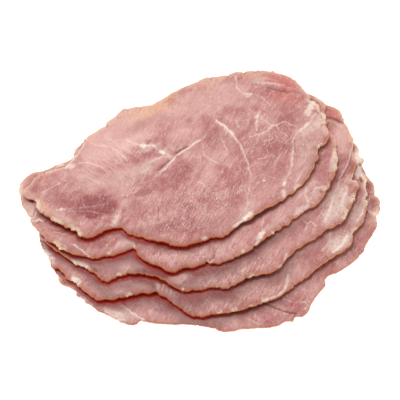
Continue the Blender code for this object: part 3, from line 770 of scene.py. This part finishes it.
def lattice(step, low, high):
    """A triangular lattice of points that fills the box."""
    row_step = step * math.sqrt(3) / 2
    rows = np.arange(low[1], high[1], row_step)
    columns = np.arange(low[0], high[0], step)
    gx, gy = np.meshgrid(columns, rows)
    gx = gx + np.where(np.arange(len(rows)) % 2 == 1, 0.5 * step, 0.0)[:, None]
    return np.column_stack([gx.ravel(), gy.ravel()])


# ---- placing by the photograph's pixels


def seen_at(pixels, top):
    """Where the camera sees these pixels on an upper face, in the stack's x and y."""
    pixels = np.array(pixels, float)
    across = (pixels[:, 0] - IMAGE_SIZE / 2) * PIXEL
    up = (IMAGE_SIZE / 2 - pixels[:, 1]) * PIXEL
    sine, cosine = math.sin(CAMERA_ELEVATION), math.cos(CAMERA_ELEVATION)
    height = np.full(len(pixels), FIRST_HEIGHT)
    for _ in range(HEIGHT_ROUNDS):
        h = height - LOOK_AT[2]
        ahead = up * (CAMERA_DISTANCE - h * sine) - CAMERA_DISTANCE * h * cosine
        y = ahead / (CAMERA_DISTANCE * sine - up * cosine)
        x = across * (CAMERA_DISTANCE + y * cosine - h * sine) / CAMERA_DISTANCE
        points = np.column_stack([x, y]) + LOOK_AT[:2]
        height = top.at(points)
    return points


def in_ellipse(points, top, centre, half_sizes, turn):
    """How far out each point is in an ellipse given in pixels: 0 at its middle, 1 at its edge."""
    middle, right, up = seen_at((centre, (centre[0] + 1, centre[1]), (centre[0], centre[1] - 1)), top)
    local = np.linalg.solve(np.column_stack([right - middle, up - middle]), (points - middle).T)
    angle = math.radians(turn)
    u = (math.cos(angle) * local[0] + math.sin(angle) * local[1]) / half_sizes[0]
    v = (-math.sin(angle) * local[0] + math.cos(angle) * local[1]) / half_sizes[1]
    return np.sqrt(u * u + v * v)


# ---- the slices


class Surface:
    """One slice of the frame, as smooth height grids and a finely torn outline."""

    def __init__(self, name, seed):
        self.name = name
        corners, triangles = frame_mesh(name)
        self.top, self.bottom = height_grids(corners, triangles)
        loop = even_loop(rim_of(corners, triangles), RIM_STEP)
        outward = outward_of(loop)
        nicked = (hashed(np.arange(NICKS), np.zeros(NICKS), seed + 70) * len(loop)).astype(int)
        self.loop = loop + outward * self.tears(loop, outward, nicked, seed)[:, None]
        slant = 0.5 * (hashed(nicked, nicked, seed) - 0.5)[:, None] * outward[:, ::-1][nicked]
        inner_ends = self.loop[nicked] + NICK_LENGTH * (slant - outward[nicked])
        self.nicks = np.stack([self.loop[nicked], inner_ends], axis=1)
        self.depth = signed_distance_grid(self.loop)
        self.front = Grid(smooth_step(-0.3, 0.5, lean_of(self.depth)))

    def tears(self, loop, outward, nicked, seed):
        """How far each point of the cut edge is moved outwards."""
        x, y = loop.T
        rough = ROUGHNESS.get(self.name, 1.0) * (1.0 - BACK_SMOOTHNESS * smooth_step(0.1, 0.8, outward[:, 1]))
        push = np.zeros(len(loop))
        for index, (size, length) in enumerate(CRAGS):
            push += size * rough * noise(x, y, seed + index, length)
        back_right = rough * smooth_step(15.0, 55.0, x) * (0.35 + 0.65 * smooth_step(-20.0, 10.0, y))
        push += SCALLOPS[0] * back_right * noise(x, y, seed + 30, SCALLOPS[1])
        crumbly = self.crumbly(loop)
        for index, (size, length) in enumerate(CRUMBLY_CRAGS):
            push += size * crumbly * noise(x, y, seed + 50 + index, length)
        for centre, radius, reach in JUTS[self.name]:
            out = in_ellipse(loop, self.top, centre, (radius, radius), 0)
            push += reach * (1.0 - smooth_step(0.3, 1.1, out))
        for place in nicked:
            push -= NICK_DEPTH * bell(np.abs(np.arange(len(loop)) - place) * RIM_STEP, NICK_WIDTH)
        return push

    def crumbly(self, points):
        """How much the cut edge crumbles there, from 0 to 1."""
        amount = np.zeros(len(points))
        for centre, radius in CRUMBLY[self.name]:
            out = in_ellipse(points, self.top, centre, (radius, radius), 0)
            amount = np.maximum(amount, 1.0 - smooth_step(0.5, 1.1, out))
        return amount


def keep_apart():
    """Lifts each slice where smoothing brought it too near the one below."""
    for upper, lower in zip(SLICES[-2::-1], SLICES[:0:-1]):
        over, under = surfaces[upper], surfaces[lower]
        clash = np.maximum(under.top.values + MIN_GAP - over.bottom.values, 0.0)
        clash[(over.depth.values < -2.0) | (under.depth.values < -2.0)] = 0.0
        over.bottom.values += clash
        over.top.values += clash


def cover_grid(name):
    """How deep under the slices above it each grid point lies, negative in the open."""
    above = SLICES[: SLICES.index(name)]
    depths = [surfaces[other].depth.values for other in above]
    return Grid(np.maximum.reduce(depths)) if depths else Grid(np.full(tuple(Grid.count), -50.0))


# ---- painting


def along_line(points, line):
    """Each point's distance from an open line, and its side of it: 1 on the left, -1 on the right."""
    nearest = np.full(len(points), np.inf)
    side = np.zeros(len(points))
    for start, end in zip(line[:-1], line[1:]):
        run = end - start
        offset = points - start
        share = np.clip(offset @ run / (run @ run), 0.0, 1.0)
        away = np.linalg.norm(offset - share[:, None] * run, axis=1)
        left = np.sign(run[0] * offset[:, 1] - run[1] * offset[:, 0])
        side = np.where(away < nearest, left, side)
        nearest = np.minimum(nearest, away)
    return nearest, side


COLOURS = ("fat", "pale", "rosy", "red", "golden", "light", "dark", "left", "coarse", "web")
PAINTED = COLOURS + ("crumb", "relief")
MESH_FIELDS = COLOURS + ("redness", "edge", "rind", "fall", "front", "deep", "shade", "crumb")


def draw_lines(values, surface, points):
    """Seams, slits and the nicks of the cut edge with painted shade in them, and the steps of torn lobes."""
    name, top = surface.name, surface.top
    x, y = points.T
    warp = shift_noise(x, y, 5, 3.0)
    bent = points + 0.2 * warp
    warped = points + 0.45 * warp + 0.18 * shift_noise(x, y, 7, 1.1)
    swell = 1.0 + 0.5 * noise(x, y, 21, 2.4) + 0.25 * noise(x, y, 24, 0.9)
    breaks = smooth_step(-0.7, 0.2, noise(x, y, 22, 1.9) + 0.5 * noise(x, y, 23, 0.8))
    for half_width, paleness, height, pixels in SEAMS[name].values():
        away = along_line(warped, seen_at(pixels, top))[0]
        strength = paleness * (paleness + (1.0 - paleness) * breaks)
        values["fat"] = np.maximum(values["fat"], strength * bell(away, half_width * swell))
        values["relief"] += height * bell(away, 2.0 * half_width)
    for half_width, darkness, depth, pixels in SLITS[name].values():
        away = along_line(bent, seen_at(pixels, top))[0]
        # Painted shade in the slit.
        values["dark"] = np.maximum(values["dark"], darkness * bell(away, half_width * swell))
        values["relief"] -= depth * bell(away, 1.5 * half_width)
    for nick in surface.nicks:
        line = bell(along_line(points, nick)[0], 0.3)
        # Painted shade in the nick.
        values["dark"] = np.maximum(values["dark"], 0.65 * line)
        values["relief"] -= 0.25 * line
    for drop, fade, pixels in STEPS.get(name, {}).values():
        away, side = along_line(bent, seen_at(pixels, top))
        values["relief"] -= drop * smooth_step(0.0, 0.5, -side * away) * np.exp(-away / fade)


def fill_areas(values, surface, points):
    """Patches of another colour, and crumbs of fat."""
    name, top = surface.name, surface.top
    x, y = points.T
    wander = 0.22 * layered_noise(x, y, 8.0, 31)
    fray = layered_noise(x, y, 1.8, 35, 2)
    for kind, patches in PATCHES[name].items():
        ragged = 0.35 if kind == "fat" else 0.1
        for amount, *ellipse in patches.values():
            out = in_ellipse(points, top, *ellipse) + wander + ragged * fray
            values[kind] += amount * (1.0 - smooth_step(0.45, 1.2, out))
    for radius, height, pixel in CRUMBS[name]:
        away = np.linalg.norm(points - seen_at((pixel,), top)[0], axis=1)
        lump = 1.0 - smooth_step(0.5 * radius, 1.15 * radius, away * (1.0 + 0.3 * noise(x, y, 41)))
        values["fat"] = np.maximum(values["fat"], lump)
        values["relief"] += height * lump


def paint(surface, points):
    """The attributes of a slice's upper face at these points, and its relief in millimetres."""
    values = {key: np.zeros(len(points)) for key in PAINTED}
    draw_lines(values, surface, points)
    fill_areas(values, surface, points)
    values["crumb"] = surface.crumbly(points)
    if surface.name == SLICES[0]:
        values["left"] = 1.0 - smooth_step(0.6, 1.3, in_ellipse(points, surface.top, *LEFT_FIBRES))
    return values


# ---- meshes


def face_points(loop, name, fine):
    """The points inside the loop: close together where the slice shows, and far apart elsewhere."""
    low, high = loop.min(0), loop.max(0)
    points = lattice(COARSE_STEP, low, high)
    if fine:
        cover, close = cover_grid(name), lattice(FINE_STEP, low, high)
        shown, hidden = cover.at(close) < COVER_MARGIN, cover.at(points) >= COVER_MARGIN
        points = np.vstack([close[shown], points[hidden]])
    depth = surfaces[name].depth.at(points)
    points, depth = points[depth > -1.5], depth[depth > -1.5]
    near = depth < 2.5
    keep = np.ones(len(points), bool)
    clear = distance_from(tree_of(loop), points[near]) > 0.5 * FINE_STEP
    keep[near] = clear & inside_loop(points[near], loop)
    return points[keep]


def net_of(loop, points):
    """Triangles over the loop and the points inside it. The loop's points come first."""
    flat = np.vstack([loop, points])
    net = delaunay_2d_cdt([Vector(p) for p in flat], [], [list(range(len(loop)))], 1, 1e-6, True)
    place = {start: index for index, starts in enumerate(net[3]) for start in starts}
    order = {index: start for start, index in place.items()}
    triangles = [
        tuple(order[corner] for corner in triangle)
        for triangle, owner in zip(net[2], net[5])
        if owner and all(corner in order for corner in triangle)
    ]
    return flat, np.array(triangles)


def grain(points, painted, seed):
    """The relief of the meat itself: soft swellings, grain and fibres."""
    x, y = points.T
    right_fibres = fibre_noise(x, y, 66, 1.1, 4.0, seed) + 0.6 * fibre_noise(x, y, 60, 2.2, 8.0, seed + 1)
    left_fibres = fibre_noise(x, y, -44, 1.1, 6.0, seed + 2)
    left_fibres = left_fibres + 0.6 * fibre_noise(x, y, -38, 2.0, 9.0, seed + 3)
    fibres = right_fibres * (1.0 - painted["left"]) + left_fibres * painted["left"]
    swellings = 0.22 * layered_noise(x, y, 13.0, seed + 5, 2)
    fine = 0.08 * layered_noise(x, y, 1.8, seed) + 0.08 * fibres
    return swellings + fine * (0.45 + 0.65 * painted["coarse"])


def upper_height(surface, flat, painted, seed):
    """The upper face's height, with its relief, its grain and the lumps of its crumbled edge."""
    depth = surface.depth.at(flat)
    lumps = painted["crumb"] * (1.0 - smooth_step(0.5, 3.0, depth))
    height = surface.top.at(flat) + painted["relief"]
    height += grain(flat, painted, seed) * smooth_step(0.0, 2.5, depth)
    return height + 0.3 * lumps * layered_noise(*flat.T, 1.8, seed + 7, 2)


def rim_faces(count, starts):
    """The triangles between each ring of the cut edge and the next one down."""
    here = np.arange(count)
    after = np.roll(here, -1)
    faces = []
    for upper, lower in zip(starts[:-1], starts[1:]):
        faces.append(np.column_stack([upper + here, lower + here, lower + after]))
        faces.append(np.column_stack([upper + here, lower + after, upper + after]))
    return faces


def slice_mesh(name, seed):
    """The slice as one closed mesh: upper face, rounded cut edge and underside."""
    surface = surfaces[name]
    outward = outward_of(surface.loop)
    rings = [surface.loop - inset * outward for inset, _ in RIM_SECTION]
    top_flat, top_triangles = net_of(rings[0], face_points(rings[0], name, True))
    low_flat, low_triangles = net_of(rings[-1], face_points(rings[-1], name, False))
    painted = paint(surface, top_flat)
    top_z = upper_height(surface, top_flat, painted, seed)
    low_z = surface.bottom.at(low_flat)

    count = len(surface.loop)
    bumps = 0.18 * noise(*surface.loop.T, seed + 9, 3.0)
    parts = [np.column_stack([top_flat, top_z])]
    for ring, (_, share) in list(zip(rings, RIM_SECTION))[1:-1]:
        height = top_z[:count] * (1 - share) + low_z[:count] * share
        parts.append(np.column_stack([ring, height + bumps * (1 - share) * share * 4]))
    starts = np.cumsum([0] + [len(part) for part in parts])
    verts = np.vstack(parts + [np.column_stack([low_flat, low_z])])
    faces = np.vstack([top_triangles, low_triangles[:, ::-1] + starts[-1], *rim_faces(count, starts)])

    mesh = bpy.data.meshes.new(name + "_ham")
    mesh.from_pydata((verts * MM).tolist(), [], faces.tolist())
    mesh.shade_smooth()
    write_attributes(mesh, verts, starts, painted, surface)
    piece = bpy.data.objects.new(name + "_ham", mesh)
    bpy.context.scene.collection.objects.link(piece)
    return piece


def write_attributes(mesh, verts, starts, painted, surface):
    """Everything the material reads from the mesh."""
    name, flat = surface.name, verts[:, :2]
    x, y = flat.T
    top, count = starts[1], len(surface.loop)
    lowest = name == SLICES[-1]
    strength = RIND_STRENGTH.get(name, 1.0)
    fall, rind = np.zeros(len(verts)), np.zeros(len(verts))
    rind[:count] = 0.5 * strength
    for start, (_, share) in zip(starts[1:], RIM_SECTION[1:]):
        fall[start : start + count] = share * (LOWEST_FALL if lowest else 1.0)
        rind[start : start + count] = strength
    cover = cover_grid(name)
    ahead = smooth_step(-0.35, 0.5, Grid(lean_of(cover)).at(flat))
    near = -cover.at(flat) * (1.0 + 0.3 * noise(x, y, 61, 9.0))
    redness, lit = along_stack("redness", x), along_stack("lit", x)
    # A painted dark red shadow in a narrow band in front of the slice above.
    in_band = 1.0 - smooth_step(0.2, 1.0, near / along_stack("dark band", x))
    # Painted shade further out in front of the slice above.
    in_shade = 1.0 - smooth_step(0.2, 1.0, near / (SHADE_REACH[name] * along_stack("shade reach", x)))
    values = {
        "redness": redness,
        "edge": np.maximum(surface.depth.at(flat), 0.0),
        "rind": rind * along_stack("rind", x),
        "fall": fall,
        "front": surface.front.at(flat) * along_stack("front", x) * (LOWEST_FRONT if lowest else 1.0),
        "deep": in_band * (0.15 + 0.85 * ahead) * redness * lit,
        "shade": in_shade * ahead * lit,
        "crumb": surface.crumbly(flat),
    }
    for key in COLOURS:
        values[key] = np.zeros(len(verts))
        values[key][:top] = painted[key]
        for start in starts[1:]:
            values[key][start : start + count] = painted[key][:count]
    for key in MESH_FIELDS:
        attribute = mesh.attributes.new(key, "FLOAT", "POINT")
        attribute.data.foreach_set("value", values[key].astype(np.float32))


# ---- material


def linear(red, green, blue):
    """An sRGB colour of 0 to 255 as the shader wants it."""
    channels = [v / 255 for v in (red, green, blue)]
    return [v / 12.92 if v <= 0.04045 else ((v + 0.055) / 1.055) ** 2.4 for v in channels] + [1.0]


class Shading:
    """A node tree, with short ways to add to it."""

    def __init__(self, name):
        self.material = bpy.data.materials.new(name)
        self.material.use_nodes = True
        self.tree = self.material.node_tree

    def put(self, socket, value):
        if isinstance(value, bpy.types.NodeSocket):
            self.tree.links.new(value, socket)
        else:
            socket.default_value = value

    def shade(self, values):
        """Sets the shader's own sockets."""
        for key, value in values.items():
            self.put(self.tree.nodes["Principled BSDF"].inputs[key], value)

    def add(self, kind, output, inputs, **settings):
        node = self.tree.nodes.new(kind)
        for key, value in settings.items():
            setattr(node, key, value)
        for key, value in inputs.items():
            self.put(node.inputs[key], value)
        return node.outputs[output]

    def math(self, operation, a, b=0.0):
        return self.add("ShaderNodeMath", 0, {0: a, 1: b}, operation=operation)

    def vector_math(self, operation, output, inputs):
        return self.add("ShaderNodeVectorMath", output, inputs, operation=operation)

    def plus(self, a, b):
        return self.math("ADD", a, b)

    def times(self, *factors):
        product = factors[0]
        for factor in factors[1:]:
            product = self.math("MULTIPLY", product, factor)
        return product

    def without(self, *factors):
        """What the factors' product leaves of 1."""
        return self.math("SUBTRACT", 1.0, self.times(*factors))

    def attribute(self, name):
        return self.add("ShaderNodeAttribute", "Fac", {}, attribute_name=name)

    def ramp(self, value, low, high):
        """0 at low and under, 1 at high and over."""
        return self.add("ShaderNodeMapRange", 0, {0: value, 1: low, 2: high, 3: 0.0, 4: 1.0},
                        interpolation_type="SMOOTHSTEP")

    def mix(self, share, a, b):
        """Two colours mixed."""
        return self.add("ShaderNodeMix", 2, {0: share, 6: a, 7: b}, data_type="RGBA")

    def between(self, share, colours):
        return self.mix(share, linear(*colours[0]), linear(*colours[1]))

    def blend(self, share, a, b):
        """Two numbers mixed."""
        return self.add("ShaderNodeMix", 0, {0: share, 2: a, 3: b}, data_type="FLOAT")

    def noise(self, place, length, detail=2.0, roughness=0.5, output="Fac"):
        return self.add("ShaderNodeTexNoise", output, {
            "Vector": place, "Scale": 1.0 / (length * MM), "Detail": detail, "Roughness": roughness,
        })

    def fibres(self, place, turn, across, along, deep=2.5):
        """Noise drawn out along a direction, given in degrees."""
        sine, cosine = math.sin(math.radians(turn)), math.cos(math.radians(turn))
        rows = (
            (cosine / (along * MM), sine / (along * MM), 0.0),
            (-sine / (across * MM), cosine / (across * MM), 0.0),
            (0.0, 0.0, 1.0 / (deep * MM)),
        )
        parts = [self.vector_math("DOT_PRODUCT", "Value", {0: place, 1: row}) for row in rows]
        stretched = self.add("ShaderNodeCombineXYZ", 0, dict(enumerate(parts)))
        return self.noise(stretched, 1.0 / MM, 2.0, 0.6)

    def strands(self, place, turn, across, along):
        """Long thin lines along a direction, 1 on the line."""
        ridge = self.math("ABSOLUTE", self.math("SUBTRACT", self.fibres(place, turn, across, along), 0.5))
        return self.ramp(ridge, 0.022, 0.0)

    def web(self, place, length, half_width):
        """Thin lines between warped cells, 1 on the line."""
        warp = self.noise(place, 0.8 * length, 1.0, output="Color")
        shift = self.vector_math("SUBTRACT", 0, {0: warp, 1: (0.5, 0.5, 0.5)})
        shift = self.vector_math("SCALE", 0, {0: shift, "Scale": 0.4 * length * MM})
        moved = self.vector_math("ADD", 0, {0: place, 1: shift})
        cells = self.add("ShaderNodeTexVoronoi", "Distance", {
            "Vector": moved, "Scale": 1.0 / (length * MM),
        }, feature="DISTANCE_TO_EDGE")
        return self.ramp(cells, half_width / length, 0.0)

    def layered(self, base, layers, fields):
        """The base colour with these layers over it."""
        for colour, strength, *follows in layers.values():
            factors = [self.ramp(fields[key], *ends) if ends else fields[key] for key, *ends in follows]
            base = self.mix(self.times(*factors, strength), base, linear(*colour))
        return base


def ham_fields(s):
    """What the layers follow: the mesh's attributes, and noises of several sizes."""
    place = s.add("ShaderNodeTexCoord", "Object", {})
    fields = {key: s.attribute(key) for key in MESH_FIELDS}
    left, redness = fields["left"], fields["redness"]
    grit = s.noise(place, 0.78, 2.0, 0.7)
    patchy = s.ramp(s.noise(place, 4.5, 2.0), 0.36, 0.58)
    webbed = s.plus(s.times(fields["web"], 0.7), 0.3)
    strands = s.blend(left, s.strands(place, 62, 2.0, 16.0), s.strands(place, -42, 1.8, 16.0))
    fields.update({
        "grit": grit,
        "broad": s.noise(place, 16.0, 2.0),
        "mottle": s.noise(place, 3.4, 3.0, 0.6),
        "streaks": s.blend(left, s.fibres(place, 66, 0.8, 3.6), s.fibres(place, -44, 0.75, 6.0)),
        "wide streaks": s.blend(left, s.fibres(place, 58, 2.4, 12.0), s.fibres(place, -38, 2.0, 12.0)),
        "open grain": s.times(s.plus(s.times(fields["coarse"], 0.75), 0.42), s.blend(patchy, 0.5, 1.0)),
        "threads": s.times(s.web(place, 9.5, 0.24), s.ramp(s.noise(place, 6.0, 2.0), 0.42, 0.6), webbed),
        "hairs": s.times(s.web(place, 4.6, 0.15), s.ramp(s.noise(place, 5.0, 2.0), 0.5, 0.66), webbed),
        "strands": s.times(strands, s.ramp(s.noise(place, 7.0, 2.0), 0.42, 0.6)),
        "calm": s.without(fields["rosy"], 0.8),
        # How red the painted shade at the drooping front edge is.
        "droop shade red": s.blend(redness, 0.35, 0.65),
        "lip red": s.blend(redness, 0.55, 0.75),
        "gritty": s.blend(0.6, 1.0, s.ramp(grit, 0.3, 0.52)),
    })
    return fields


def ham_colour(s, fields):
    """The meat, with painted shade and a painted dark red shadow in front of the slice above, and the rind
    over it at the cut edge.
    """
    meat = s.layered(s.between(s.ramp(fields["broad"], 0.38, 0.62), LEAN), MEAT_LAYERS, fields)
    # Painted shade in front of the slice above, less where the light patches are.
    shade = s.times(fields["shade"], s.without(fields["light"], 0.6))
    shaded = s.between(s.times(s.ramp(shade, 0.7, 1.0), fields["redness"]), SHADED)
    meat = s.mix(s.times(shade, 0.85), meat, shaded)
    # The painted dark red shadow right at the edge of the slice above.
    meat = s.mix(s.times(fields["deep"], 0.95), meat, s.between(s.ramp(fields["deep"], 0.5, 1.0), RED_SHADOW))
    meat = s.layered(meat, SLIT_SHADE_LAYERS, fields)
    rind = s.layered(s.between(s.ramp(fields["fall"], 0.0, 0.3), LIP), RIND_LAYERS, fields)
    bare = s.math("MAXIMUM", s.times(fields["fat"], 0.85), s.times(fields["golden"], 0.6))
    return s.mix(s.times(fields["rind"], s.without(bare)), meat, rind)


def ham_bump(s, fields):
    """The finest relief: grain, fibres and threads."""
    grain_height = s.plus(s.times(fields["grit"], 1.1), s.times(fields["streaks"], 1.2))
    height = s.plus(s.times(grain_height, fields["open grain"]), s.times(fields["mottle"], 0.6))
    height = s.plus(height, s.times(s.plus(fields["threads"], fields["hairs"]), 0.15))
    return s.add("ShaderNodeBump", "Normal", {"Strength": 0.6, "Distance": 0.4 * MM, "Height": height})


def ham_material():
    s = Shading("ham")
    fields = ham_fields(s)
    bump = ham_bump(s, fields)
    s.shade({
        "Base Color": ham_colour(s, fields),
        "Normal": bump,
        "Roughness": s.add("ShaderNodeMapRange", 0, {0: fields["mottle"], 3: 0.36, 4: 0.6}),
        "Subsurface Weight": 0.25,
        "Subsurface Radius": (1.0, 0.35, 0.25),
        "Subsurface Scale": 1.4 * MM,
        "Coat Weight": 0.15,
        "Coat Roughness": 0.28,
        "Coat Normal": bump,
    })
    return s.material


# ---- stage


def build_floor():
    half = FLOOR_HALF * MM
    mesh = bpy.data.meshes.new("floor")
    corners = [(-half, -half, 0), (half, -half, 0), (half, half, 0), (-half, half, 0)]
    mesh.from_pydata(corners, [], [(0, 1, 2, 3)])
    floor = bpy.data.objects.new("floor", mesh)
    floor.location.z = -FLOOR_DROP * MM
    bpy.context.scene.collection.objects.link(floor)
    s = Shading("floor")
    s.shade({
        "Base Color": (0.93, 0.93, 0.93, 1.0),
        "Roughness": 0.9,
        "Emission Color": (1.0, 1.0, 1.0, 1.0),
        "Emission Strength": 0.7,
    })
    mesh.materials.append(s.material)


def add_light(name, place, size, energy):
    lamp = bpy.data.lights.new(name, "AREA")
    lamp.size = size
    lamp.energy = energy
    lamp_object = bpy.data.objects.new(name, lamp)
    lamp_object.location = place
    lamp_object.rotation_euler = (-Vector(place)).to_track_quat("-Z", "Y").to_euler()
    bpy.context.scene.collection.objects.link(lamp_object)


def light_scene():
    world = bpy.data.worlds.new("studio")
    world.use_nodes = True
    background = world.node_tree.nodes["Background"]
    background.inputs["Color"].default_value = (1.0, 1.0, 1.0, 1.0)
    background.inputs["Strength"].default_value = WORLD_LIGHT
    bpy.context.scene.world = world
    bpy.context.scene.view_settings.view_transform = "Standard"
    for name, light in LIGHTS.items():
        add_light(name, *light)


def add_camera():
    camera = bpy.data.cameras.new("camera")
    camera.sensor_width = SENSOR_WIDTH
    camera.lens = SENSOR_WIDTH * CAMERA_DISTANCE / (IMAGE_SIZE * PIXEL)
    camera_object = bpy.data.objects.new("camera", camera)
    back = Vector((0.0, -math.cos(CAMERA_ELEVATION), math.sin(CAMERA_ELEVATION)))
    camera_object.location = Vector(LOOK_AT * MM) + back * CAMERA_DISTANCE * MM
    camera_object.rotation_euler = (-back).to_track_quat("-Z", "Y").to_euler()
    bpy.context.scene.collection.objects.link(camera_object)
    bpy.context.scene.camera = camera_object


# ---- the scene

surfaces = {name: Surface(name, seed) for name, seed in zip(SLICES, EDGE_SEEDS)}
keep_apart()
material = ham_material()
for name, seed in zip(SLICES, GRAIN_SEEDS):
    piece = slice_mesh(name, seed)
    piece.data.materials.append(material)
    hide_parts(name)
    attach(piece, "root")
build_floor()
light_scene()
add_camera()
